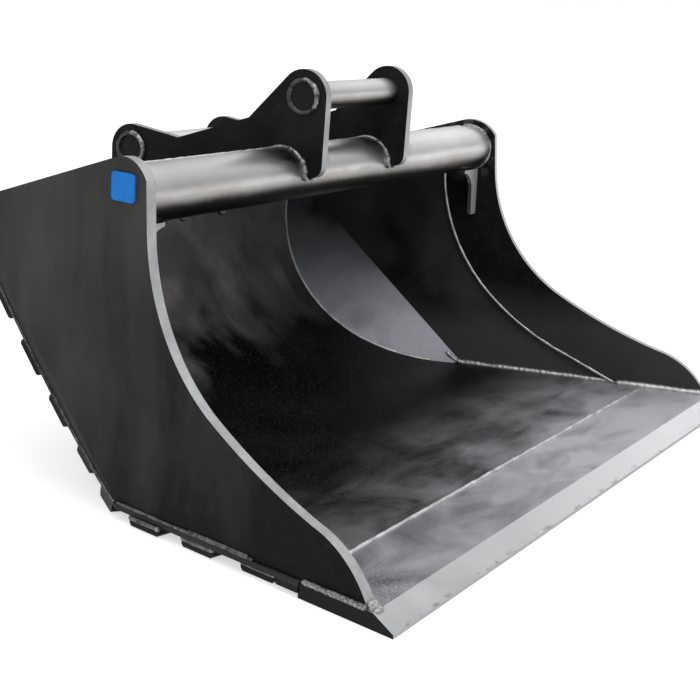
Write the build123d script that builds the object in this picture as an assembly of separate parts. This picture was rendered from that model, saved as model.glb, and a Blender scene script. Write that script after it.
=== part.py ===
from build123d import *
from math import atan2, cos, pi, radians, sin, sqrt
import os

# Excavator grading bucket for a 60 mm pin hitch. Millimetres, +Z up, mouth towards -Y.
# X runs along the torque tube, X = 0 is the middle of the bucket and Z = 0 is the ground it rests on.
# The bodies are drawn with Y = 0 at the tube's axis and saved with Y = 0 in the middle of the depth.

# Torque tube and hitch
tube_z = 620.0
tube_r = 57.15
tube_wall = 8.0
pin_r = 30.0
pin_fit = 0.3
front_pin_y, front_pin_z = -44.0, 787.0
rear_pin_y, rear_pin_z = 411.0, 634.0
pin_proud = 1.5
ear_clear = 340.0
ear_t = 20.0
front_boss_r = 57.5
rear_boss_r = 55.0
# Corners of the ear's outline, as Y and height above the tube's axis
ear_kink = (92.0, 112.0)
ear_valley = (280.0, 51.0)
ear_nose = (-98.0, 25.0)

# Side plates: a flat plate that tapers in towards the back, bent once along a straight line
side_x = 727.0
foot_y = -652.0
side_taper = 0.2257
side_lean = 0.021
side_t = 10.0
edge_t = 12.0
edge_foot_y = -425.0
crown_r = 74.0
top_slope = 0.308
bend_y = -8.0
bend_slope = 1.03
bend_angle = 35.0

# Bent floor and back sheet, top sheet
floor_z = 30.0
sheet_t = 10.0
back_r = 500.0
back_y = -14.0
sheet_lip = 6.0
top_t = 10.0

# Cutting edge
blade_front = -712.0
blade_bevel = -666.0
blade_back = -498.0
blade_lip = 7.0
blade_over = 4.0

# Wear blocks
block_l = 86.0
block_w = 50.0
block_h = 20.0
block_cut = 5.0
filler_h = 11.0
filler_gap = 12.0
# Each block's place, as Y on the floor or degrees round the back, and its gap to the sheet's edge
floor_blocks = ((-391.0, 12.0), (-239.0, 6.0), (-97.0, 0.0))
back_blocks = ((6.9, 0.0), (22.0, 6.0), (37.3, 6.0), (52.2, 6.0), (67.0, 6.0), (81.5, 6.0))

# Brackets under the tube ends; the two heights are below the tube's axis
bracket_y = -25.0
bracket_t = 10.0
bracket_tip = 636.0
bracket_tail = 683.0
bracket_top = 54.0
bracket_low = 173.0

# Welds, and the places of the three stitches under the tube
weld = 7.0
pin_weld_h = 5.0
stitch_r = 9.0
stitches = (-612.0, -549.0, -420.0)

# Badge on the left side plate
badge_l = 68.0
badge_w = 54.0
badge_corner = 9.0
badge_t = 4.0
badge_y = -4.0
badge_up = 18.0

os.makedirs("parts", exist_ok=True)
far = 1200.0
depth_shift = 96.5


def save(shape, name):
    export_step(Pos(0, depth_shift, 0) * shape, f"parts/{name}.step")


def save_pair(shape, name):
    save(shape, f"{name}_right")
    save(mirror(shape, about=Plane.YZ), f"{name}_left")


# The right side plate's outer face, and the same plane moved inwards or outwards
side_out = Vector(1, side_taper, side_lean).normalized()
side_back = Vector(-side_taper, 1, 0).normalized()


def side_plane(inset):
    return Plane(
        origin=Vector(side_x, 0, tube_z) - side_out * inset,
        x_dir=side_back,
        z_dir=side_out,
    )


def on_side(y, z):
    """A point of the outer side face over world Y and height Z, in the plate's own axes."""
    x = side_x - side_taper * y - side_lean * (z - tube_z)
    local = side_plane(0).to_local_coords(Vector(x, y, z))
    return (local.X, local.Y)


def side_point(y, z):
    return Vector(side_x - side_taper * y - side_lean * (z - tube_z), y, z)


# The bent-in rear corner: a plane through the bend line, turned inwards
def bend_at(z):
    return bend_y + bend_slope * (z - floor_z)


bend_low = side_point(bend_at(floor_z), floor_z)
bend_high = side_point(bend_at(tube_z), tube_z)
bend_dir = (bend_high - bend_low).normalized()
corner_out = side_out.rotate(Axis((0, 0, 0), tuple(bend_dir)), bend_angle)
if corner_out.Y < side_out.Y:
    corner_out = side_out.rotate(Axis((0, 0, 0), tuple(bend_dir)), -bend_angle)
miter = bend_dir.cross((side_out + corner_out).normalized())


def corner_plane(inset):
    return Plane(origin=bend_low - corner_out * inset, x_dir=bend_dir, z_dir=corner_out)


miter_plane = Plane(origin=bend_low, x_dir=bend_dir, z_dir=miter)


def mirrored(plane):
    return Plane(
        origin=(-plane.origin.X, plane.origin.Y, plane.origin.Z),
        x_dir=(-plane.x_dir.X, plane.x_dir.Y, plane.x_dir.Z),
        z_dir=(-plane.z_dir.X, plane.z_dir.Y, plane.z_dir.Z),
    )


def beyond(plane):
    return plane * Box(5000, 5000, 2500, align=(Align.CENTER, Align.CENTER, Align.MIN))


def inside(shape, plane):
    return shape - beyond(plane)


def outside(shape, plane):
    return shape & beyond(plane)


def between_sides(shape, plane):
    return inside(inside(shape, plane), mirrored(plane))


def prism(sketch, half_width=far):
    return extrude(Plane.YZ * sketch, amount=half_width, both=True)


def half_prism(sketch):
    return extrude(Plane.YZ * sketch, amount=far)


# Outlines in world Y and Z
q45 = sin(pi / 4)


def tz(z):
    return tube_z + z


crown = Vector(top_slope, 1).normalized() * crown_r
crown_end = (crown.X, tz(crown.Y))
top_line = tube_z + crown_r * sqrt(1 + top_slope**2)
rear_y = back_y + back_r
rear_top = (rear_y, top_line - top_slope * rear_y)
rear_low = (rear_y, floor_z + (rear_y - bend_y) / bend_slope)
front_high = (-sqrt(crown_r**2 - 36.0**2), tz(36))
front_low = (-71, tz(-60))
front_knee = (-250, tz(-362.4))
front_toe = (-520, tz(-486.3))


def front_edge():
    """The open front edge of a side, from the cutting edge up to the crown."""
    return [
        ThreePointArc(on_side(foot_y, floor_z), on_side(-600, tz(-526)), on_side(*front_toe)),
        ThreePointArc(on_side(*front_toe), on_side(-372, tz(-428)), on_side(*front_knee)),
        ThreePointArc(on_side(*front_knee), on_side(-131, tz(-241)), on_side(*front_low)),
        Line(on_side(*front_low), on_side(*front_high)),
        ThreePointArc(on_side(*front_high), on_side(-30.3, tz(67.5)), on_side(*crown_end)),
    ]


def filled(lines):
    return make_face(Curve() + lines)


side_outline = filled(
    front_edge()
    + [
        Line(on_side(*crown_end), on_side(*rear_top)),
        Line(on_side(*rear_top), on_side(*rear_low)),
        Line(on_side(*rear_low), on_side(bend_y, floor_z)),
        Line(on_side(bend_y, floor_z), on_side(foot_y, floor_z)),
    ]
)
edge_rear = [
    Line(on_side(58, tz(59)), on_side(57, tz(-60))),
    ThreePointArc(on_side(57, tz(-60)), on_side(19, tz(-236)), on_side(-88, tz(-392))),
    ThreePointArc(on_side(-88, tz(-392)), on_side(-182, tz(-468)), on_side(-297, tz(-529))),
    Line(on_side(-297, tz(-529)), on_side(edge_foot_y, floor_z)),
]
edge_outline = filled(
    front_edge()
    + [Line(on_side(*crown_end), on_side(58, tz(59)))]
    + edge_rear
    + [Line(on_side(edge_foot_y, floor_z), on_side(foot_y, floor_z))]
)

# Top sheet: tangent to the tube, down to the outer face of the back
slope = Vector(1, -top_slope).normalized()
normal = Vector(top_slope, 1).normalized()


def top_point(along, height):
    p = slope * along + normal * height
    return (p.X, tz(p.Y))


def top_at(y, height):
    return (y, tz(height * sqrt(1 + top_slope**2) - top_slope * y))


tube_gap = sqrt(tube_r**2 - (tube_r - top_t) ** 2) + 0.3
back_outer = rear_y + sheet_t
top_section = filled(
    [
        Polyline(
            top_point(tube_gap, tube_r),
            top_at(back_outer, tube_r),
            top_at(back_outer, tube_r - top_t),
            top_point(tube_gap, tube_r - top_t),
            close=True,
        )
    ]
)
under_top = filled(
    [
        Polyline(
            top_at(-1000, tube_r - top_t),
            top_at(1000, tube_r - top_t),
            (1000, -100),
            (-1000, -100),
            close=True,
        )
    ]
)
top_sheet = between_sides(prism(top_section), side_plane(side_t))

# Floor and back: one sheet, flat and then rolled through a quarter turn
back_centre = (back_y, floor_z + back_r)


def back_point(radius, turn=45.0):
    a = radians(turn)
    return (back_centre[0] + radius * sin(a), back_centre[1] - radius * cos(a))


outer_r = back_r + sheet_t
sheet_section = filled(
    [
        Line((blade_back, floor_z), (back_y, floor_z)),
        ThreePointArc(back_point(back_r, 0), back_point(back_r), back_point(back_r, 90)),
        Line(back_point(back_r, 90), back_point(outer_r, 90)),
        ThreePointArc(back_point(outer_r, 90), back_point(outer_r), back_point(outer_r, 0)),
        Line((back_y, floor_z - sheet_t), (blade_back, floor_z - sheet_t)),
        Line((blade_back, floor_z - sheet_t), (blade_back, floor_z)),
    ]
)
wrap = between_sides(prism(sheet_section & under_top), side_plane(-sheet_lip))
wrap = between_sides(wrap, corner_plane(-sheet_lip))

# Side plates with their bent-in rear corners
flat_part = inside(extrude(side_plane(0) * side_outline, amount=-side_t), miter_plane)
corner_part = half_prism(Pos(*back_centre) * Circle(back_r))
corner_part = inside(outside(corner_part, corner_plane(side_t)), corner_plane(0))
corner_part = outside(corner_part, miter_plane)
floor_level = Plane.XY.offset(floor_z)
side_plate = outside(flat_part + corner_part, floor_level) - wrap

# Reinforced front edges, lapped on the inner faces
side_edge = extrude(side_plane(side_t) * edge_outline, amount=-edge_t) - top_sheet
side_edge = outside(side_edge, floor_level)
edge_face = side_t + edge_t

# Cutting edge
blade_section = filled(
    [
        Polyline(
            (blade_back, 0),
            (blade_back, floor_z),
            (blade_bevel, floor_z),
            (blade_front, blade_lip),
            (blade_front, 0),
            close=True,
        )
    ]
)
blade = between_sides(prism(blade_section), side_plane(-blade_over))

# Torque tube
ring = Circle(tube_r) - Circle(tube_r - tube_wall)
tube = between_sides(prism(Pos(0, tube_z) * ring), side_plane(edge_face))

# Hitch ears, their pins and the welds at the pin ends
front_pin = Vector(front_pin_y, front_pin_z)
rear_pin = Vector(rear_pin_y, rear_pin_z)
kink, valley, nose = [(y, tz(up)) for y, up in (ear_kink, ear_valley, ear_nose)]


def tangent_point(point, centre, radius, side):
    """Where a line from the point touches the circle, on its left (1) or right (-1)."""
    gap = centre - Vector(*point)
    reach = sqrt(gap.length**2 - radius**2)
    turn = side * atan2(radius, reach)
    heading = atan2(gap.Y, gap.X) + turn
    return (point[0] + reach * cos(heading), point[1] + reach * sin(heading))


front_touch = tangent_point(kink, front_pin, front_boss_r, -1)
rear_touch = tangent_point(valley, rear_pin, rear_boss_r, 1)
front_side = tangent_point(nose, front_pin, front_boss_r, 1)
front_crest = (front_pin.X - 8, front_pin.Y + sqrt(front_boss_r**2 - 64))
rear_crest = (rear_pin.X + rear_boss_r * q45, rear_pin.Y + rear_boss_r * q45)
rear_side = (rear_pin.X + rear_boss_r, rear_pin.Y)
seat = (-tube_r * cos(radians(4)), tz(-tube_r * sin(radians(4))))
crest_touch = top_point(0, tube_r)
saddle = (-tube_r * q45, tz(tube_r * q45))
ear_outline = filled(
    [
        Line(kink, front_touch),
        ThreePointArc(front_touch, front_crest, front_side),
        Line(front_side, nose),
        ThreePointArc(nose, (-91, tz(7)), (-74, tz(-2))),
        Line((-74, tz(-2)), seat),
        ThreePointArc(seat, saddle, crest_touch),
        Line(crest_touch, top_at(rear_side[0], tube_r)),
        Line(top_at(rear_side[0], tube_r), rear_side),
        ThreePointArc(rear_side, rear_crest, rear_touch),
        Line(rear_touch, valley),
        Line(valley, kink),
    ]
)
pin_holes = Pos(front_pin_y, front_pin_z) * Circle(pin_r + pin_fit)
pin_holes += Pos(rear_pin_y, rear_pin_z) * Circle(pin_r + pin_fit)
ear_in = ear_clear / 2
ear_out = ear_in + ear_t
ear = extrude(Plane.YZ.offset(ear_in) * (ear_outline - pin_holes), amount=ear_t)


def hitch_pin(y, z):
    length = 2 * (ear_out + pin_proud)
    pin = Cylinder(pin_r, length)
    pin = chamfer(pin.edges().filter_by(GeomType.CIRCLE), 2.0)
    return Pos(0, y, z) * Rot(0, 90, 0) * pin


def pin_weld(y, z):
    bead = Circle(pin_r + weld) - Circle(pin_r + 0.1)
    bead = extrude(Plane.YZ.offset(ear_out) * Pos(y, z) * bead, amount=pin_weld_h)
    rim = bead.edges().filter_by(GeomType.CIRCLE).group_by(Axis.X)[-1].sort_by(SortBy.RADIUS)[-1]
    return chamfer(rim, 3.5)


# Brackets under the tube ends, standing across the bucket
bracket_top_z, bracket_low_z = tz(-bracket_top), tz(-bracket_low)
tip_low = (bracket_tip + 2, bracket_top_z - 8)
throat = (bracket_tail - 16, bracket_top_z - 20)
leg_top = (bracket_tail - 1, bracket_top_z - 46)
leg_end = (bracket_tail + 4, bracket_low_z)
into_side = 780.0
bracket_outline = filled(
    [
        Line((into_side, bracket_top_z), (bracket_tip, bracket_top_z)),
        Line((bracket_tip, bracket_top_z), tip_low),
        ThreePointArc(tip_low, throat, leg_top),
        Line(leg_top, leg_end),
        Line(leg_end, (into_side, bracket_low_z)),
        Line((into_side, bracket_low_z), (into_side, bracket_top_z)),
    ]
)
bracket = extrude(Plane.XZ.offset(bracket_t / 2 - bracket_y) * bracket_outline, amount=-bracket_t)
bracket = inside(bracket, side_plane(edge_face)) - prism(Pos(0, tube_z) * Circle(tube_r))

# Wear blocks along both sides of the floor and up the back
block_section = Polyline(
    (-block_l / 2, -3),
    (-block_l / 2, block_h - block_cut),
    (-block_l / 2 + block_cut, block_h),
    (block_l / 2 - block_cut, block_h),
    (block_l / 2, block_h - block_cut),
    (block_l / 2, -3),
    close=True,
)
block = extrude(Plane.XZ * filled([block_section]), amount=block_w)


def edge_point(turn, inset):
    """Where the rolled back's outer face meets the plane of its side edge."""
    y, z = back_point(outer_r, turn)
    p = bend_low - corner_out * inset
    x = p.X - (corner_out.Y * (y - p.Y) + corner_out.Z * (z - p.Z)) / corner_out.X
    return Vector(x, y, z)


def back_block(turn, inset):
    a = radians(turn)
    out = Vector(0, sin(a), -cos(a))
    run = edge_point(turn + 0.5, inset) - edge_point(turn - 0.5, inset)
    run = (run - out * run.dot(out)).normalized()
    block_plane = Plane(origin=edge_point(turn, inset - sheet_lip), x_dir=run, z_dir=out)
    return outside(block_plane * block - wrap, Plane.XY)


def floor_block(y, inset):
    z = floor_z - sheet_t
    x = side_x + sheet_lip - inset - side_taper * y - side_lean * (z - tube_z)
    block_plane = Plane(origin=(x, y, z), x_dir=side_back, z_dir=(0, 0, -1))
    return block_plane * block - wrap


def edge_filler():
    """Fills the step under the floor sheet between the front block and the cutting edge."""
    front = blade_back + 0.3
    rear = floor_blocks[0][0] - block_l / 2 - filler_gap
    low = floor_z - sheet_t - filler_h
    section = Pos((front + rear) / 2, low + filler_h / 2) * Rectangle(rear - front, filler_h)
    bar = inside(half_prism(section), side_plane(-sheet_lip))
    return outside(bar, side_plane(block_w - sheet_lip))


# Weld beads
def near_tube(radius):
    return Pos(0, tube_z) * Circle(radius)


blade_weld = Pos(0, blade_back - 3, floor_z) * Rot(0, 90, 0) * Cylinder(5.0, 3000)
blade_weld = between_sides(blade_weld, side_plane(edge_face + 1)) - blade - wrap
tube_weld = half_prism(near_tube(tube_r + weld) - near_tube(tube_r))
tube_weld = inside(outside(tube_weld, side_plane(edge_face + weld)), side_plane(edge_face))
tube_weld = tube_weld - top_sheet - bracket
sector = filled(
    [
        Polyline((0, tube_z), (-150, tz(8)), (-150, tz(150)), (12, tz(150)), close=True),
    ]
)
saddle_weld = (near_tube(tube_r + weld) - near_tube(tube_r)) & sector
saddle_weld = extrude(Plane.YZ.offset(ear_out) * saddle_weld, amount=weld)


def stitch_weld(x):
    lump = Pos(x, -8, tube_z - tube_r - 1) * Sphere(stitch_r)
    return lump - prism(near_tube(tube_r))


def corner_weld():
    """Along the rolled back, inside the bent-in corner."""
    band = Circle(back_r) - Circle(back_r - weld)
    bead = half_prism(Pos(*back_centre) * band & under_top)
    bead = inside(outside(bead, corner_plane(side_t + weld)), corner_plane(side_t))
    bead = inside(outside(bead, miter_plane), side_plane(side_t))
    return bead


def floor_weld():
    """Outside, between the side plate and the edge of the floor sheet."""
    bead = Polyline((0, 0), (weld - 1, 0), (0, weld - 1), close=True)
    run = side_point(blade_back + 4, floor_z) - side_point(bend_y - 4, floor_z)
    start = side_point(bend_y - 4, floor_z)
    frame = Plane(origin=start, x_dir=(side_out - Vector(0, 0, side_out.Z)), z_dir=run.normalized())
    return extrude(frame * filled([bead]), amount=run.length) - wrap - side_plate


# Blank badge, on the left side plate only
badge_plane = mirrored(side_plane(0))
badge_at = badge_plane.to_local_coords(Vector(-side_x, badge_y, tube_z + badge_up))
badge = RectangleRounded(badge_l, badge_w, badge_corner)
badge_plate = extrude(badge_plane * Pos(badge_at.X, badge_at.Y) * badge, amount=badge_t)

save_pair(side_plate, "side_plate")
save_pair(side_edge, "side_edge")
save(wrap, "floor_back_sheet")
save(top_sheet, "top_sheet")
save(blade, "cutting_edge")
save(tube, "torque_tube")
save_pair(ear, "hitch_ear")
save(hitch_pin(front_pin_y, front_pin_z), "front_pin")
save(hitch_pin(rear_pin_y, rear_pin_z), "rear_pin")
save_pair(bracket, "tube_bracket")
for number, (y, inset) in enumerate(floor_blocks, 1):
    save_pair(floor_block(y, inset), f"floor_block_{number}")
for number, (turn, inset) in enumerate(back_blocks, 1):
    save_pair(back_block(turn, inset), f"back_block_{number}")
save_pair(edge_filler(), "edge_filler")
save(blade_weld, "weld_blade")
save_pair(tube_weld, "weld_tube")
save_pair(saddle_weld, "weld_ear")
save_pair(pin_weld(front_pin_y, front_pin_z), "weld_front_pin")
save_pair(pin_weld(rear_pin_y, rear_pin_z), "weld_rear_pin")
save_pair(corner_weld(), "weld_corner")
save_pair(floor_weld(), "weld_floor")
for number, x in enumerate(stitches, 1):
    save(stitch_weld(x), f"weld_stitch_{number}")
save(badge_plate, "badge_plate")
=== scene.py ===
import bpy
import math
from mathutils import Matrix, Vector, noise


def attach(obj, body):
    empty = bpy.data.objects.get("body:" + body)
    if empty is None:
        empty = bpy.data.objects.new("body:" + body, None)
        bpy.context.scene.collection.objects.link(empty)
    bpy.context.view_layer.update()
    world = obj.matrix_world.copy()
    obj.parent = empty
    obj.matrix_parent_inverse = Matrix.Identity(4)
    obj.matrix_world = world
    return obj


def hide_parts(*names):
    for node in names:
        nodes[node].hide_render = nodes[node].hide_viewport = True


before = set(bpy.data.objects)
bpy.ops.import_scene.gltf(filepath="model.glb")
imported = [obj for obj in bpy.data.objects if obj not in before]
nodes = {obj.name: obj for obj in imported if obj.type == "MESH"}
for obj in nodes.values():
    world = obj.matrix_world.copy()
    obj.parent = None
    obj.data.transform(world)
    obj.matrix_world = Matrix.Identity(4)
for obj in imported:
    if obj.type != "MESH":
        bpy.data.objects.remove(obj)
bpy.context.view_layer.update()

# The bucket's drawing is in mm with Y = 0 at the tube's axis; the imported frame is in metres.
DEPTH_SHIFT = 96.5
TUBE_Z, TUBE_R = 620.0, 57.15
SIDE_X, TAPER, LEAN = 727.0, 0.2257, 0.021
SIDE_LEN = math.sqrt(1 + TAPER**2 + LEAN**2)
SIDE_T, EDGE_FACE = 10.0, 22.0
FLOOR_Z, BACK_R, BACK_Y = 30.0, 500.0, -14.0
BEND_Y, BEND_SLOPE, BEND_ANGLE = -8, 1.03, math.radians(35)
STITCHES, STITCH_HALF = (-612, -549, -420), 9
EAR_IN, EAR_OUT = 170.0, 190.0
TOP_SLOPE = 0.308
FRONT_PIN, REAR_PIN = (-44.0, 787.0), (411.0, 634.0)
PIN_R = 30.0
FLOOR_BLOCKS = ((-391.0, 12.0), (-239.0, 6.0), (-97.0, 0.0))


def place(x, y, z):
    """A point of the drawing, in mm, as a point of the frame, in metres."""
    return Vector((x, y + DEPTH_SHIFT, z)) / 1000


def side_at(y, z, inset):
    """X of the right side plate's outer plane, moved inwards by inset."""
    return SIDE_X - TAPER * y - LEAN * (z - TUBE_Z) - inset * SIDE_LEN


side_normal = Vector((1, TAPER, LEAN)).normalized()
bend_low = Vector((side_at(BEND_Y, FLOOR_Z, 0), BEND_Y, FLOOR_Z))
bend_high_y = BEND_Y + BEND_SLOPE * (TUBE_Z - FLOOR_Z)
bend_high = Vector((side_at(bend_high_y, TUBE_Z, 0), bend_high_y, TUBE_Z))
bend_dir = (bend_high - bend_low).normalized()
corner_normal = Matrix.Rotation(BEND_ANGLE, 3, bend_dir) @ side_normal
if corner_normal.y < side_normal.y:
    corner_normal = Matrix.Rotation(-BEND_ANGLE, 3, bend_dir) @ side_normal


def corner_at(y, z, inset):
    """X of the bent-in rear corner's outer plane, moved inwards by inset."""
    p = bend_low - corner_normal * inset
    return p.x - (corner_normal.y * (y - p.y) + corner_normal.z * (z - p.z)) / corner_normal.x


# Camera
camera = bpy.data.objects.new("camera", bpy.data.cameras.new("camera"))
bpy.context.scene.collection.objects.link(camera)
camera.data.sensor_width = 36.0
camera.data.lens = 78.02
camera.data.clip_end = 500
right = Vector((0.50952, -0.85883, 0.05286))
down = Vector((-0.17606, -0.16419, -0.97059))
ahead = Vector((0.84225, 0.48523, -0.23487))
turn = Matrix((right, -down, -ahead)).transposed().to_4x4()
camera.matrix_world = Matrix.Translation((-2.91841, -1.76269 + DEPTH_SHIFT / 1000, 1.02420)) @ turn
bpy.context.scene.camera = camera
bpy.context.scene.view_settings.view_transform = "Standard"
bpy.context.scene.view_settings.look = "None"


# Shader helper: numbers and sockets go in by input name
class Shader:
    def __init__(self, name):
        self.material = bpy.data.materials.new(name)
        self.material.use_nodes = True
        self.tree = self.material.node_tree
        self.tree.nodes.clear()
        self.at = self.node("ShaderNodeTexCoord").outputs["Object"]
        self.normal = self.node("ShaderNodeNewGeometry").outputs["True Normal"]

    def node(self, kind, inputs=(), **settings):
        made = self.tree.nodes.new(kind)
        for key, value in settings.items():
            setattr(made, key, value)
        for key, value in dict(inputs).items():
            self.put(made.inputs[key], value)
        return made

    def put(self, socket, value):
        if isinstance(value, bpy.types.NodeSocket):
            self.tree.links.new(value, socket)
        else:
            socket.default_value = value

    def math(self, operation, a, b=0.0, c=0.0, clamp=False):
        made = self.node("ShaderNodeMath", operation=operation, use_clamp=clamp)
        for socket, value in zip(made.inputs, (a, b, c)):
            self.put(socket, value)
        return made.outputs[0]

    def dot(self, vector, other):
        made = self.node("ShaderNodeVectorMath", {0: vector, 1: tuple(other)}, operation="DOT_PRODUCT")
        return made.outputs["Value"]

    def scaled(self, scale):
        made = self.node("ShaderNodeVectorMath", {0: self.at, 1: scale}, operation="MULTIPLY")
        return made.outputs[0]

    def noise(self, scale, detail=6.0, stretch=None, rough=0.55, distort=0.0):
        at = self.at if stretch is None else self.scaled(stretch)
        made = self.node(
            "ShaderNodeTexNoise",
            {"Vector": at, "Scale": scale, "Detail": detail, "Roughness": rough, "Distortion": distort},
        )
        return made.outputs["Fac"]

    def fit(self, value, low, high, to_low=0.0, to_high=1.0):
        made = self.node("ShaderNodeMapRange", {0: value, 1: low, 2: high, 3: to_low, 4: to_high})
        return made.outputs[0]

    def mix(self, factor, a, b):
        made = self.node("ShaderNodeMix", data_type="RGBA")
        for key, value in (("Factor", factor), ("A", a), ("B", b)):
            sockets = [s for s in made.inputs if s.name == key and s.enabled]
            if not isinstance(value, (bpy.types.NodeSocket, float)):
                value = (*value, 1.0)
            self.put(sockets[0], value)
        return [s for s in made.outputs if s.enabled][0]

    def blend(self, factor, a, b):
        return self.math("ADD", self.math("MULTIPLY", factor, self.math("SUBTRACT", b, a)), a)

    def axis(self, name):
        return self.node("ShaderNodeSeparateXYZ", {0: self.at}).outputs[name]

    def finish(self, color, rough, metal=0.0, height=None, bump=0.2, depth=0.001, specular=0.5):
        inputs = {"Base Color": color, "Roughness": rough, "Metallic": metal}
        inputs["Specular IOR Level"] = specular
        if height is not None:
            bumped = self.node("ShaderNodeBump", {"Height": height, "Strength": bump, "Distance": depth})
            inputs["Normal"] = bumped.outputs[0]
        surface = self.node("ShaderNodeBsdfPrincipled", inputs)
        out = self.node("ShaderNodeOutputMaterial")
        self.tree.links.new(surface.outputs[0], out.inputs["Surface"])
        return self.material

    def facing(self, *normals):
        """Largest cosine between the face and any of the directions."""
        best = None
        for normal in normals:
            d = self.dot(self.normal, normal)
            best = d if best is None else self.math("MAXIMUM", best, d)
        return best

    def swing(self, value, share):
        """The value's distance from one half, scaled."""
        return self.times(self.math("SUBTRACT", value, 0.5), share)

    def times(self, *values):
        out = values[0]
        for value in values[1:]:
            out = self.math("MULTIPLY", out, value)
        return out

    def plus(self, *values):
        out = values[0]
        for value in values[1:]:
            out = self.math("ADD", out, value)
        return out


def grey(level):
    return (level, level, level)


def flip(v):
    return (-v[0], v[1], v[2])


def minus(v):
    return (-v[0], -v[1], -v[2])


def cut_metal(s, face, color, rough, metal, height, gloss=0.08):
    """Bare plasma-cut edges wherever the plate's own faces end, paler towards the far (+X) side as a
    painted highlight.
    """
    cut = s.fit(face, 0.93, 0.86)
    drag = s.noise(700, 2, (0.15, 1, 1))
    patch = s.noise(16, 6, None, 0.7)
    bare = s.mix(s.fit(patch, 0.3, 0.75), (0.28, 0.285, 0.29), (0.45, 0.455, 0.46))
    # Painted highlight: the cut edges are made paler towards the far (+X) side.
    bare = s.mix(s.fit(s.axis("X"), 0.1, 0.6), bare, (0.50, 0.505, 0.51))
    color = s.mix(cut, color, bare)
    rough = s.blend(cut, rough, 0.5)
    metal = s.blend(cut, metal, 0.8)
    height = s.plus(s.times(height, 0.4), s.times(cut, drag))
    return s.finish(color, rough, metal, height, 0.25, 0.0006, gloss)


def side_plate(name):
    """Dark rolled plate: streaky outside with painted shade low down and at the front, smoky inside, and a
    painted reflection, pale blue-grey low down, in the bent-in corner.
    """
    s = Shader(name)
    y, z = s.axis("Y"), s.axis("Z")
    out = tuple(side_normal)
    turned = tuple(corner_normal)
    face = s.facing(out, flip(out), minus(out), minus(flip(out)),
                    turned, flip(turned), minus(turned), minus(flip(turned)))
    inner = s.fit(s.dot(s.normal, (0, 1, 0)), 0.1, -0.1)
    corner = s.fit(s.facing(minus(turned), minus(flip(turned))), 0.9, 0.985)
    streak = s.noise(5.0, 5, (1, 1, 0.28), 0.6, 0.5)
    cloud = s.noise(2.6, 3, None, 0.5, 0.9)
    fine = s.noise(45, 8, None, 0.65)
    dust = s.fit(s.noise(420, 2), 0.68, 0.78)
    # Painted shade: the outside is painted darker towards the bottom and the front, and lighter up high and
    # towards the back.
    painted_light_up = s.fit(z, 0.04, 0.62)
    painted_light_rearward = s.fit(y, -0.35, 0.45)
    lift = s.plus(s.times(painted_light_up, 0.52), s.times(painted_light_rearward, 0.40), s.swing(cloud, 0.8))
    brushed = s.noise(12, 5, (1, 1, 0.22), 0.62, 0.3)
    lift = s.plus(lift, s.swing(streak, 1.0), s.swing(brushed, 0.75))
    outside = s.mix(s.fit(lift, 0.17, 1.0), grey(0.002), (0.041, 0.040, 0.039))
    smoke = s.noise(6.0, 4, (1, 1, 0.8), 0.5, 0.35)
    inside = s.mix(s.fit(smoke, 0.30, 0.62), (0.010, 0.010, 0.0102), (0.045, 0.0453, 0.047))
    inside = s.mix(s.fit(z, 0.20, 0.12, 0, 0.9), inside, (0.072, 0.0705, 0.076))
    # Painted reflection: the bent-in corner's inner face is painted pale blue-grey low down, fading to dark
    # higher up.
    low = s.fit(s.plus(z, s.swing(cloud, 0.3)), 0.40, 0.15)
    pale = s.mix(low, (0.008, 0.008, 0.0075), (0.37, 0.38, 0.42))
    pale = s.mix(s.times(s.fit(smoke, 0.42, 0.62), 0.55), pale, (0.11, 0.115, 0.128))
    turned_out = s.fit(s.facing(turned, flip(turned)), 0.93, 0.985)
    plain = s.mix(s.fit(streak, 0.4, 0.6), (0.010, 0.010, 0.0098), (0.027, 0.0265, 0.026))
    outside = s.mix(turned_out, outside, plain)
    color = s.mix(inner, outside, inside)
    # The bent-in corner takes its painted reflection here.
    color = s.mix(corner, color, pale)
    color = s.mix(s.fit(fine, 0.5, 0.85, 0, 0.15), color, (0.05, 0.05, 0.052))
    color = s.mix(s.times(dust, 0.08), color, grey(0.2))
    rough = s.blend(turned_out, s.fit(streak, 0.3, 0.7, 0.42, 0.52), 0.95)
    metal = s.times(corner, 0.5)
    return cut_metal(s, face, color, rough, metal, fine)


def flat_plate(name, normals, dark, light, heights=(0.62, 0.15), gloss=0.08, cloudy=0.35, scuffed=False):
    """Dark plate with cut edges, for the ears, brackets and edge strips."""
    s = Shader(name)
    z = s.axis("Z")
    cloud = s.noise(6.0, 4, None, 0.55, 0.8)
    fine = s.noise(45, 8, None, 0.65)
    dust = s.fit(s.noise(420, 2), 0.68, 0.78)
    fade = s.plus(s.times(s.fit(z, *heights), 1 - cloudy), s.times(s.fit(cloud, 0.4, 0.66), cloudy))
    color = s.mix(fade, dark, light)
    color = s.mix(s.fit(fine, 0.5, 0.85, 0, 0.25), color, (0.05, 0.05, 0.052))
    color = s.mix(s.times(dust, 0.12), color, grey(0.2))
    if scuffed:
        aside = s.math("SUBTRACT", s.axis("Y"), DEPTH_SHIFT / 1000)
        above = s.math("SUBTRACT", z, TUBE_Z / 1000)
        reach = s.math("SQRT", s.plus(s.times(aside, aside), s.times(above, above)))
        mark = s.times(s.fit(reach, 0.095, 0.062), s.fit(s.noise(38, 5, None, 0.6), 0.46, 0.60))
        color = s.mix(s.times(mark, 0.8), color, (0.10, 0.10, 0.098))
    signed = list(normals) + [minus(n) for n in normals]
    return cut_metal(s, s.facing(*signed), color, s.fit(cloud, 0.3, 0.7, 0.38, 0.52), 0.0, fine, gloss)


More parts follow.
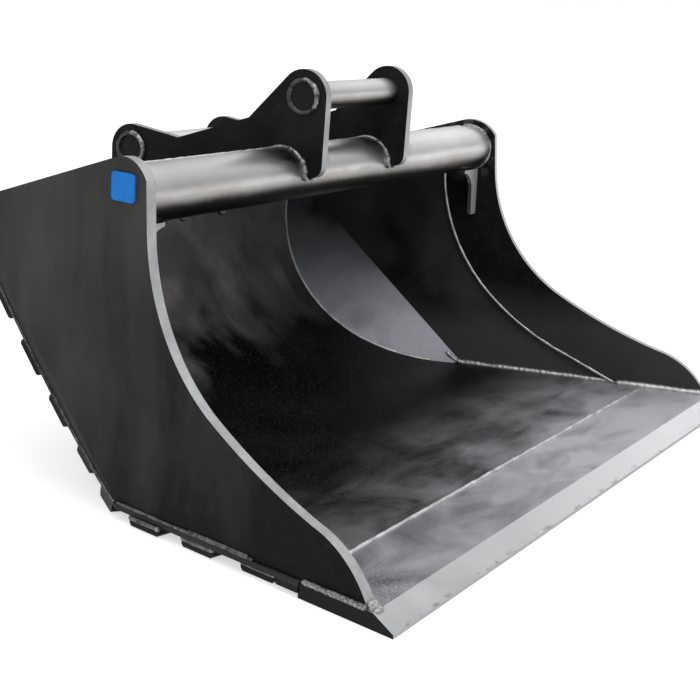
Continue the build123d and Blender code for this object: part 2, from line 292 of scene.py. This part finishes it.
def worn_sheet(name):
    """Mill scale on the bent floor and back, near-black low down on the back and worn bare towards the
    mouth.
    """
    s = Shader(name)
    x, y, z = s.axis("X"), s.axis("Y"), s.axis("Z")
    smoke = s.noise(4.2, 4, (1.0, 1.5, 1.0), 0.52, 0.45)
    flame = s.noise(5.5, 5, (1.3, 1.3, 0.6), 0.55, 0.35)
    streak = s.noise(7.0, 7, (0.45, 1.8, 1.8), 0.62, 0.6)
    fine = s.noise(110, 6, None, 0.7)
    grit = s.fit(s.noise(230, 2), 0.57, 0.64)
    edge = s.plus(z, s.swing(flame, 0.5), s.times(s.fit(x, 0.1, -0.75), 0.12))
    upper = s.times(s.fit(edge, 0.12, 0.34), s.fit(z, 0.05, 0.17))
    high = s.mix(s.fit(x, -0.1, 0.35), (0.30, 0.284, 0.278), (0.108, 0.105, 0.104))
    back = s.mix(upper, (0.0016, 0.0016, 0.0018), high)
    back = s.mix(s.fit(smoke, 0.42, 0.62, 0, 0.5), back, (0.010, 0.010, 0.011))
    forward = s.math("POWER", s.fit(y, 0.0, -0.44), 1.8)
    across = s.fit(x, -0.85, 0.75, 0.2, 1.75)
    wear = s.plus(s.times(s.fit(smoke, 0.38, 0.64), 0.85), s.times(s.fit(streak, 0.40, 0.68), 0.45))
    amount = s.math("MULTIPLY", s.times(forward, across), s.plus(wear, 0.03), clamp=True)
    color = s.mix(amount, back, (0.32, 0.325, 0.345))
    grit = s.times(grit, s.fit(s.dot(s.normal, (0, 0, 1)), 0.5, 0.8))
    inset = s.plus(x, s.times(y, -TAPER), (SIDE_X + TAPER * DEPTH_SHIFT) / 1000)
    near = s.times(s.fit(inset, 0.22, 0.02), s.fit(inset, 0.0, 0.01), s.fit(y, -0.16, -0.34))
    color = s.mix(s.times(grit, 0.04), color, (0.75, 0.75, 0.76))
    spark = s.fit(s.noise(300, 2), 0.52, 0.60)
    color = s.mix(s.times(spark, near), color, (0.80, 0.80, 0.81))
    behind = s.fit(s.dot(s.normal, (0, 1, 0)), 0.05, 0.15)
    below = s.fit(s.dot(s.normal, (0, 0, 1)), -0.4, -0.5)
    outer = s.math("MAXIMUM", behind, below)
    mill_scale = s.mix(s.fit(smoke, 0.3, 0.7), grey(0.012), (0.030, 0.0298, 0.0295))
    color = s.mix(outer, color, mill_scale)
    rough = s.fit(s.plus(smoke, s.times(fine, 0.4)), 0.45, 0.95, 0.36, 0.56)
    metal = s.times(amount, 0.5, s.math("SUBTRACT", 1.0, outer))
    return s.finish(color, rough, metal, fine, 0.2, 0.0005, 0.1)


def mill_plate(name):
    """Plain mill scale on the top sheet."""
    s = Shader(name)
    smoke = s.noise(3.6, 4, (1.0, 1.4, 1.0), 0.5, 0.8)
    fine = s.noise(110, 6, None, 0.7)
    color = s.mix(s.fit(smoke, 0.3, 0.7), grey(0.014), (0.032, 0.0318, 0.0315))
    return s.finish(color, s.fit(smoke, 0.3, 0.7, 0.42, 0.55), 0.0, fine, 0.2, 0.0005, 0.16)


def edge_steel(name):
    """Cutting edge: smudged grey top, clean pale bevel with nicks, dark ends."""
    s = Shader(name)
    x, y = s.axis("X"), s.axis("Y")
    up = s.dot(s.normal, (0, 0, 1))
    front = s.dot(s.normal, (0, -1, 0))
    bevel = s.times(s.fit(front, 0.25, 0.4), s.fit(up, 0.3, 0.5))
    smoke = s.noise(4.4, 5, (1.0, 1.8, 1.0), 0.52, 1.1)
    fine = s.noise(140, 5, (0.3, 1, 1), 0.7)
    scratch = s.noise(260, 3, (0.06, 1, 1), 0.6)
    grit = s.fit(s.noise(270, 2), 0.54, 0.62)
    lift = s.plus(s.times(s.fit(smoke, 0.32, 0.66), 0.62), s.times(s.fit(y, -0.40, -0.57), 0.15),
                  s.times(s.fit(x, -0.8, 0.5), 0.62))
    color = s.mix(lift, (0.066, 0.069, 0.078), (0.46, 0.47, 0.50))
    color = s.mix(s.fit(scratch, 0.55, 0.75, 0, 0.2), color, (0.5, 0.5, 0.52))
    near = s.fit(x, -0.62, -0.84)
    color = s.mix(s.times(grit, s.plus(0.05, s.times(near, 0.7))), color, (0.60, 0.60, 0.61))
    top = s.fit(up, 0.3, 0.6)
    lip = s.fit(front, 0.9, 0.97)
    side = s.mix(lip, grey(0.003), (0.34, 0.34, 0.345))
    color = s.mix(top, side, color)
    bright = s.mix(s.fit(x, -0.6, 0.5), (0.41, 0.418, 0.43), (0.78, 0.79, 0.81))
    bright = s.mix(s.fit(smoke, 0.35, 0.65, 0, 0.4), bright, (0.60, 0.61, 0.625))
    nick = s.times(s.fit(y, -0.606, -0.615), s.fit(s.noise(70, 5, (0.5, 1, 1), 0.7), 0.54, 0.62))
    bright = s.mix(s.times(nick, 0.7), bright, (0.12, 0.12, 0.125))
    color = s.mix(bevel, color, bright)
    rough = s.fit(s.plus(smoke, fine), 0.7, 1.3, 0.34, 0.52)
    metal = s.fit(top, 0, 1, 0.0, 0.6)
    return s.finish(color, rough, metal, s.plus(fine, scratch), 0.2, 0.0005, 0.12)


def bright_steel(name, centre_z, radius, tube=False):
    """Drawn tube and turned pins: pale, with a painted highlight brighter towards the far end and painted
    shade underneath; smoke round the ear welds.
    """
    s = Shader(name)
    x, z = s.axis("X"), s.axis("Z")
    height = s.times(s.math("SUBTRACT", z, centre_z), 1 / radius)
    brush = s.noise(9, 8, (0.25, 6, 6), 0.7)
    blotch = s.noise(4, 4, (1, 1, 1), 0.5, 0.5)
    fine = s.noise(300, 4, (0.2, 1, 1), 0.7)
    wander = s.math("SUBTRACT", s.noise(7, 5, (1, 2, 2), 0.6, 0.8), 0.5)
    height = s.plus(height, s.times(wander, 0.3))
    # Painted highlight: the pale colour is made brighter towards the far end (+X), on top of random
    # blotches.
    pale = s.plus(s.fit(blotch, 0.35, 0.65, 0, 0.25), s.fit(x, -0.7, 0.6, 0, 0.75))
    color = s.mix(pale, (0.46, 0.46, 0.468), (0.96, 0.962, 0.975))
    color = s.mix(s.fit(height, 0.35, 0.0, 0.0, 0.35), color, (0.76, 0.70, 0.62))
    color = s.mix(s.fit(brush, 0.4, 0.7, 0, 0.25), color, grey(0.45))
    # Painted shade: the lower part of the tube and pins is painted dark, darkest underneath.
    under = s.fit(height, 0.20, -0.02, 0.0, 0.36)
    painted_shade_deep = s.fit(height, 0.03, -0.42)
    color = s.mix(s.plus(under, s.times(painted_shade_deep, 0.60)), color, (0.022, 0.020, 0.016))
    rough = s.fit(s.plus(blotch, s.times(fine, 0.3)), 0.4, 0.95, 0.30, 0.42)
    beside = s.math("ABSOLUTE", s.math("SUBTRACT", s.math("ABSOLUTE", x), EAR_IN / 1000 + 0.01))
    if tube:
        near = s.math("ABSOLUTE", s.plus(beside, s.times(wander, 0.2)))
        tint = s.times(s.fit(near, 0.125, 0.02), s.plus(s.times(s.fit(height, 0.14, 0.55), 0.84), 0.1))
        color = s.mix(tint, color, (0.03, 0.03, 0.032))
        return s.finish(color, rough, 1.0, fine, 0.08, 0.0004)
    end = s.fit(s.math("ABSOLUTE", s.dot(s.normal, (1, 0, 0))), 0.8, 0.95)
    color = s.mix(s.fit(beside, 0.035, 0.005, 0, 0.85), color, grey(0.03))
    color = s.mix(end, color, grey(0.008))
    metal = s.math("SUBTRACT", 1.0, end)
    return s.finish(color, rough, metal, fine, 0.08, 0.0004, 0.12)


def weld_metal(name, dark, light, grain=30):
    s = Shader(name)
    soot = s.noise(grain, 6, None, 0.6, 0.4)
    fine = s.noise(350, 5, None, 0.7)
    color = s.mix(s.fit(soot, 0.35, 0.7), dark, light)
    rough = s.fit(fine, 0.3, 0.7, 0.3, 0.5)
    return s.finish(color, rough, 0.7, fine, 0.4, 0.0006)


def block_steel(name):
    s = Shader(name)
    patch = s.noise(22, 7, None, 0.65, 0.4)
    fine = s.noise(240, 4)
    color = s.mix(s.fit(patch, 0.35, 0.7), (0.002, 0.002, 0.0022), (0.016, 0.0163, 0.0172))
    rough = s.fit(patch, 0.3, 0.7, 0.4, 0.6)
    return s.finish(color, rough, 0.0, fine, 0.3, 0.0006, 0.12)


def badge_paint(name):
    s = Shader(name)
    flow = s.noise(60, 5, None, 0.6)
    fine = s.noise(600, 3)
    color = s.mix(s.fit(flow, 0.3, 0.7), (0.002, 0.130, 0.46), (0.004, 0.165, 0.54))
    return s.finish(color, s.fit(flow, 0.3, 0.7, 0.34, 0.46), 0.0, fine, 0.1, 0.0003, 0.12)


side_paint = side_plate("side_paint")
edge_normals = [tuple(side_normal), flip(tuple(side_normal))]
strip_paint = flat_plate("strip_paint", edge_normals, grey(0.006), (0.046, 0.0462, 0.0475),
                         heights=(0.27, 0.16), gloss=0.03, cloudy=0.12, scuffed=True)
ear_paint = flat_plate("ear_paint", [(1, 0, 0)], grey(0.006), grey(0.03))
# The bracket's plate faces are only its ±Z and ±X faces, so its front and back (±Y) take the pale cut-edge
# colour: a painted highlight on the lit front face, against the darker side face.
bracket_paint = flat_plate("bracket_paint", [(0, 0, 1), (1, 0, 0)], (0.05, 0.05, 0.048), grey(0.12))
floor_steel = worn_sheet("floor_steel")
top_steel = mill_plate("top_steel")
blade_steel = edge_steel("blade_steel")
tube_steel = bright_steel("tube_steel", TUBE_Z / 1000, TUBE_R / 1000, True)
front_pin_steel = bright_steel("front_pin_steel", FRONT_PIN[1] / 1000, PIN_R / 1000)
rear_pin_steel = bright_steel("rear_pin_steel", REAR_PIN[1] / 1000, PIN_R / 1000)
bead_steel = weld_metal("bead_steel", (0.40, 0.40, 0.41), (0.80, 0.80, 0.81))
tip_bead = weld_metal("tip_bead", (0.20, 0.20, 0.205), (0.55, 0.55, 0.555), 60)
half_bead = weld_metal("half_bead", (0.04, 0.04, 0.041), (0.52, 0.52, 0.53), 80)
sill_bead = weld_metal("sill_bead", (0.02, 0.02, 0.021), (0.42, 0.42, 0.43), 230)
foot_bead = weld_metal("foot_bead", (0.30, 0.30, 0.305), (0.58, 0.58, 0.585), 60)
ledge_bead = weld_metal("ledge_bead", (0.03, 0.03, 0.031), (0.20, 0.20, 0.205), 60)
dull_bead = weld_metal("dull_bead", (0.008, 0.008, 0.0085), (0.10, 0.101, 0.105))
block_metal = block_steel("block_metal")
badge_blue = badge_paint("badge_blue")

finishes = [
    ("side_plate", side_paint), ("side_edge", strip_paint), ("hitch_ear", ear_paint),
    ("tube_bracket", bracket_paint), ("edge_filler", block_metal),
    ("floor_back_sheet", floor_steel), ("top_sheet", top_steel), ("cutting_edge", blade_steel),
    ("torque_tube", tube_steel), ("front_pin", front_pin_steel), ("rear_pin", rear_pin_steel),
    ("weld", bead_steel), ("floor_block", block_metal), ("back_block", block_metal),
    ("badge_plate", badge_blue),
]
for name, node in nodes.items():
    for start, material in finishes:
        if name.startswith(start):
            node.data.materials.clear()
            node.data.materials.append(material)
            break


# Weld beads: rippled, slightly wandering beads laid along paths, in steps of this share of a radius
BEAD_STEP = 0.4


def resample(points, step):
    out = [points[0]]
    left = step
    for a, b in zip(points, points[1:]):
        run = (b - a).length
        at = left
        while at < run:
            out.append(a.lerp(b, at / run))
            at += step
        left = at - run
    out.append(points[-1])
    return out


def bead(verts, faces, path, radius, seed, sides=8):
    path = resample(path, radius * BEAD_STEP)
    base = len(verts)
    side = None
    count = len(path)
    for i, p in enumerate(path):
        along = (path[min(i + 1, count - 1)] - path[max(i - 1, 0)]).normalized()
        if side is None:
            side = along.orthogonal().normalized()
        side = (side - along * side.dot(along)).normalized()
        up = along.cross(side)
        s = i * BEAD_STEP
        ripple = 0.92 + 0.11 * abs(math.sin(s * 1.9 + 0.4 * noise.noise((s * 0.5, seed, 0))))
        lump = 1 + 0.22 * noise.noise((s * 0.16, seed, 7)) + 0.10 * noise.noise((s * 0.8, seed, 3))
        end = min(i, count - 1 - i) / 3
        r = radius * ripple * lump * min(1, 0.35 + 0.65 * math.sqrt(min(1, end)))
        drift = radius * 0.16 * noise.noise((s * 0.12, seed, 11))
        centre = p + side * drift
        for k in range(sides):
            a = 2 * math.pi * k / sides
            verts.append(centre + (side * math.cos(a) + up * math.sin(a)) * r)
    for i in range(count - 1):
        for k in range(sides):
            a, b = base + i * sides + k, base + i * sides + (k + 1) % sides
            faces.append((a, b, b + sides, a + sides))
    faces.append(tuple(base + k for k in reversed(range(sides))))
    faces.append(tuple(base + (count - 1) * sides + k for k in range(sides)))


def beads(name, runs, replaced=(), finish=None):
    """One piece of weld beads; each run is (points in mm, radius in mm)."""
    verts, faces = [], []
    for number, (points, radius) in enumerate(runs):
        path = [place(*p) for p in points]
        bead(verts, faces, path, radius / 1000, number * 3.7 + len(name))
    mesh = bpy.data.meshes.new(name)
    mesh.from_pydata(verts, [], faces)
    mesh.shade_smooth()
    mesh.materials.append(finish or bead_steel)
    piece = bpy.data.objects.new(name, mesh)
    bpy.context.scene.collection.objects.link(piece)
    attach(piece, "root")
    if replaced:
        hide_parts(*replaced)
    return piece


def arc(a, b, c, count=24):
    """Points on the circle through three (y, z) points, from a to c."""
    ax, ay, bx, by, cx, cy = *a, *b, *c
    d = 2 * (ax * (by - cy) + bx * (cy - ay) + cx * (ay - by))
    a2, b2, c2 = ax**2 + ay**2, bx**2 + by**2, cx**2 + cy**2
    ux = (a2 * (by - cy) + b2 * (cy - ay) + c2 * (ay - by)) / d
    uy = (a2 * (cx - bx) + b2 * (ax - cx) + c2 * (bx - ax)) / d
    r = math.hypot(ax - ux, ay - uy)
    t = [math.atan2(q - uy, p - ux) for p, q in (a, b, c)]
    for i in (1, 2):
        while t[i] - t[i - 1] > math.pi:
            t[i] -= 2 * math.pi
        while t[i] - t[i - 1] < -math.pi:
            t[i] += 2 * math.pi
    turns = [t[0] + (t[2] - t[0]) * k / count for k in range(count + 1)]
    return [(ux + r * math.cos(turn), uy + r * math.sin(turn)) for turn in turns]


def on_side(points, inset):
    return [(side_at(y, z, inset), y, z) for y, z in points]


def pair(points, radius):
    """The same bead on the right and on the left."""
    return [(points, radius), ([(-x, y, z) for x, y, z in points], radius)]


def tz(z):
    return TUBE_Z + z


def ring(centre, radius, start, stop, count=40):
    """(y, z) points round a centre; angles in degrees from +Z towards -Y."""
    turns = [math.radians(start + (stop - start) * k / count) for k in range(count + 1)]
    return [(centre[0] - radius * math.sin(t), centre[1] + radius * math.cos(t)) for t in turns]


lap = [(58, tz(50)), (57, tz(-60))] + arc((57, tz(-60)), (19, tz(-236)), (-88, tz(-392)))
lap += arc((-88, tz(-392)), (-182, tz(-468)), (-297, tz(-529)))[1:] + [(-425, FLOOR_Z + 2)]
lap = [(y + 1.5, z + 0.5) for y, z in lap]
beads("bead_lap", pair(on_side(lap[1:], EDGE_FACE - 3), 4.4))

seam = [(y, FLOOR_Z + 1) for y in (BEND_Y, -425)]
toe = [(y, FLOOR_Z + 1) for y in (-425, -655)]
foot = pair(on_side(seam, SIDE_T + 1), 9.0) + pair(on_side(toe, EDGE_FACE), 11.5)
beads("bead_foot", foot, (), foot_bead)


def rolled(start, stop, count):
    """(y, z) points up the rolled back, just inside its face; angles from straight down."""
    turns = [math.radians(start + (stop - start) * k / count) for k in range(count + 1)]
    r = BACK_R - 1
    return [(BACK_Y + r * math.sin(t), FLOOR_Z + BACK_R - r * math.cos(t)) for t in turns]


roll = []
for y, z in rolled(8, 86, 60):
    x = min(corner_at(y, z, SIDE_T), side_at(y, z, SIDE_T))
    if z < tz(TUBE_R - 14 - TOP_SLOPE * y):
        roll.append((x, y, z))
beads("bead_corner", pair(roll, 3.8), ["weld_corner_left", "weld_corner_right"])

notch = [(side_at(BEND_Y, FLOOR_Z, 12), -24, FLOOR_Z + 2), (side_at(0, FLOOR_Z, 13), 2, FLOOR_Z + 6),
         (corner_at(26, 58, 12), 26, 58)]
beads("bead_notch", pair(notch, 6.0))

rear = [(corner_at(y, z, -2), y, z) for y, z in rolled(1, 75, 56)]
beads("bead_back_outside", pair(rear, 3.6), (), ledge_bead)

outside = [(side_at(y, FLOOR_Z, -1.5), y, FLOOR_Z + 1) for y in (-10, -385)]
second = [(side_at(y, FLOOR_Z, -1), y, FLOOR_Z + 5) for y in (-215, -372)]
under = pair(outside, 4.0) + pair(second, 2.8)
beads("bead_floor_outside", under, ["weld_floor_left", "weld_floor_right"], ledge_bead)
sill = [(side_at(y, FLOOR_Z, -2), y, FLOOR_Z + 2) for y in (-505, -652)]
beads("bead_sill", pair(sill, 5.6), (), sill_bead)

# The front foot of each side is boxed in with a wedge of weld
wedge = []
for y, z, radius in ((-655, 37, 7.5), (-657, 31, 10.0), (-667, 28.5, 7.0)):
    wedge += pair([(side_at(y, FLOOR_Z, inset), y, z) for inset in (0, 6, 12, 18, 25)], radius)
beads("bead_tip", wedge, (), tip_bead)

ledges, drops = [], []
for middle, inset in FLOOR_BLOCKS:
    ledge = [(side_at(y, FLOOR_Z, inset - 9), y, 17) for y in (middle + 41, middle - 38)]
    drop = [(side_at(y, FLOOR_Z, inset - 9.5), y, 17.5) for y in (middle - 36, middle - 46)]
    ledges += pair(ledge, 4.4)
    drops += pair(drop, 4.8)
beads("bead_blocks", ledges, (), ledge_bead)
beads("bead_block_ends", drops, (), half_bead)

reach = side_at(-501, FLOOR_Z, EDGE_FACE + 1)
beads("bead_blade", [([(-reach, -500, FLOOR_Z), (reach, -500, FLOOR_Z)], 5.2)], ["weld_blade"])

collar = ring((0, TUBE_Z), TUBE_R + 1.5, -14, 328, 80)
collars = pair(on_side(collar, EDGE_FACE + 1), 3.4)
beads("bead_tube_ends", collars, ["weld_tube_left", "weld_tube_right"], half_bead)

# Each ear's saddle has a thin bead on both faces, thicker at the front and with a drip at its foot
saddle = ring((0, TUBE_Z), TUBE_R + 1, 92, -17, 40)
back_end = [(394, tz((TUBE_R + 1) * math.sqrt(1 + TOP_SLOPE**2) - TOP_SLOPE * 394))]
thick = ring((0, TUBE_Z), TUBE_R + 2, 94, 50, 16)
drip = ring((0, TUBE_Z), TUBE_R + 2, 99, 84, 6)
ear_runs = []
for x in (EAR_OUT + 1.5, EAR_IN - 1.5, -EAR_OUT - 1.5, -EAR_IN + 1.5):
    ear_runs.append(([(x, y, z) for y, z in saddle + back_end], 4.8))
    ear_runs.append(([(x, y, z) for y, z in thick], 6.4))
for x in (EAR_OUT + 2, EAR_IN - 2, -EAR_OUT - 2, -EAR_IN + 2):
    ear_runs.append(([(x, y, z) for y, z in drip], 7.0))
beads("bead_ears", ear_runs, ["weld_ear_left", "weld_ear_right"], half_bead)

for label, pin in (("front", FRONT_PIN), ("rear", REAR_PIN)):
    rim = [(EAR_OUT + 1, y, z) for y, z in ring(pin, PIN_R + 4, -60, 303, 48)]
    lit = [(EAR_OUT + 3, y, z) for y, z in ring(pin, PIN_R + 6.5, 0, 130, 24)]
    replaced = [f"weld_{label}_pin_left", f"weld_{label}_pin_right"]
    beads(f"bead_{label}_pin", pair(rim, 6.0), replaced, dull_bead)
    beads(f"bead_{label}_pin_lit", pair(lit, 5.4), (), half_bead)

crest = math.radians(17.1)
gap_y, gap_z = (TUBE_R + 1) * math.sin(crest), tz((TUBE_R + 1) * math.cos(crest))
spans = [(-side_at(gap_y, gap_z, 24), -EAR_OUT - 6), (-EAR_IN + 6, EAR_IN - 6)]
spans.append((EAR_OUT + 6, side_at(gap_y, gap_z, 24)))
beads("bead_top", [([(a, gap_y + 2, gap_z - 2), (b, gap_y + 2, gap_z - 2)], 3.2) for a, b in spans])

stitches = []
for x in STITCHES:
    ends = (x - STITCH_HALF, x + STITCH_HALF)
    stitches.append(([(end, -6, tz(-TUBE_R - 1)) for end in ends], 7.0))
beads("bead_stitches", stitches, ["weld_stitch_1", "weld_stitch_2", "weld_stitch_3"], dull_bead)

# Floor, light and background
floor_mesh = bpy.data.meshes.new("studio_floor")
floor_mesh.from_pydata([(-150, -150, 0), (150, -150, 0), (150, 150, 0), (-150, 150, 0)], [], [(0, 1, 2, 3)])
floor = bpy.data.objects.new("studio_floor", floor_mesh)
bpy.context.scene.collection.objects.link(floor)
floor.location.z = -0.0005
s = Shader("studio_floor")
paper = s.mix(s.noise(3, 4), grey(0.59), grey(0.61))
studio = s.finish(paper, 0.9)
shader = next(n for n in studio.node_tree.nodes if n.type == "BSDF_PRINCIPLED")
shader.inputs["Emission Color"].default_value = (1, 1, 1, 1)
shader.inputs["Emission Strength"].default_value = 0.60
floor_mesh.materials.append(studio)

world = bpy.data.worlds.new("studio")
bpy.context.scene.world = world
world.use_nodes = True
sky = world.node_tree
coordinates = sky.nodes.new("ShaderNodeTexCoord")
split = sky.nodes.new("ShaderNodeSeparateXYZ")
ramp = sky.nodes.new("ShaderNodeValToRGB")
sky.links.new(coordinates.outputs["Generated"], split.inputs[0])
sky.links.new(split.outputs["Z"], ramp.inputs["Fac"])
sky.links.new(ramp.outputs["Color"], sky.nodes["Background"].inputs["Color"])
stops = ((0.0, 0.8), (0.035, 0.8), (0.06, 0.30), (0.25, 0.36), (0.75, 1.0))
while len(ramp.color_ramp.elements) < len(stops):
    ramp.color_ramp.elements.new(0.5)
for element, (at, level) in zip(ramp.color_ramp.elements, stops):
    element.position = at
    element.color = (level, level, level, 1)
sky.nodes["Background"].inputs["Strength"].default_value = 1.25


def area_light(name, at, target, size, power):
    light = bpy.data.lights.new(name, "AREA")
    light.shape = "RECTANGLE"
    light.size, light.size_y = size
    light.energy = power
    made = bpy.data.objects.new(name, light)
    bpy.context.scene.collection.objects.link(made)
    made.location = at
    made.rotation_euler = (Vector(target) - Vector(at)).to_track_quat("-Z", "Y").to_euler()
    return made


area_light("key", (-0.6, -1.0, 3.6), (0, 0, 0.4), (3.0, 2.0), 30)
area_light("mouth", (1.2, -4.2, 2.4), (0, -0.2, 0.3), (2.5, 2.0), 20)
